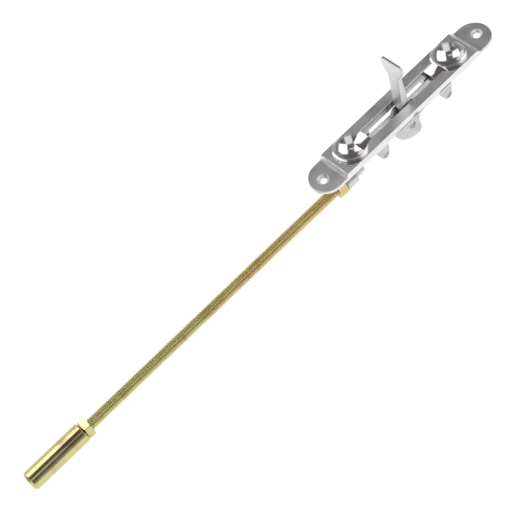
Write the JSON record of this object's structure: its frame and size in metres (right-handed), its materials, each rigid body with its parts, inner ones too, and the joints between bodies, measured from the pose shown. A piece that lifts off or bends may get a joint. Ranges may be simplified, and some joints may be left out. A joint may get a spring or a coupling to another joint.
{
  "type": "lever flush bolt",
  "caption": "Lever-action extension flush bolt: slim round-ended faceplate with two finger dishes, flip lever, threaded rod with lock nuts and cylindrical bolt tip.",
  "frame": {"origin": "centre of the faceplate, in the seat plane under its end tabs", "axes": "+X along the faceplate away from the bolt tip, +Z out of the door edge"},
  "size_m": [0.3334, 0.0204, 0.0539],
  "materials": {
    "satin_chrome": "satin chrome plate, polished in the finger dishes",
    "cast_zinc": "bright casting",
    "pin_steel": "ground steel",
    "spring_steel": "bright spring wire",
    "yellow_zinc": "zinc plate with yellow passivation, slightly iridescent"
  },
  "bodies": {
    "faceplate": {"faceplate": "satin_chrome", "pivot_pin": "pin_steel", "guide_pin_bolt_end": "pin_steel", "guide_pin_far_end": "pin_steel", "detent_plug": "pin_steel", "detent_spring": "spring_steel"},
    "lever": {"lever": "satin_chrome", "drive_pin": "pin_steel"},
    "slide": {"slide": "cast_zinc", "lock_nut": "yellow_zinc", "threaded_rod": "yellow_zinc", "jam_nut": "yellow_zinc", "bolt_tip": "yellow_zinc"},
    "detent_ball": {"detent_ball": "pin_steel"}
  },
  "joints": [
    {"name": "slide_throw", "type": "slide", "parent": "faceplate", "child": "slide", "axis": [1, 0, 0], "range_m": [-0.00906, 0.00965]},
    {"name": "lever_turn", "type": "hinge", "parent": "faceplate", "child": "lever", "pos_m": [0.0006, 0, 0.0019], "axis": [0, 1, 0], "range_deg": [-82.5, 77.5]},
    {"name": "detent_press", "type": "slide", "parent": "faceplate", "child": "detent_ball", "axis": [0, -1, 0], "range_m": [0, 0.00045], "stiffness_N_per_m": 400, "springref_m": -0.001}
  ],
  "couplings": [
    {"joint": "lever_turn", "follows": "slide_throw", "rad_per_m": -149.24}
  ]
}
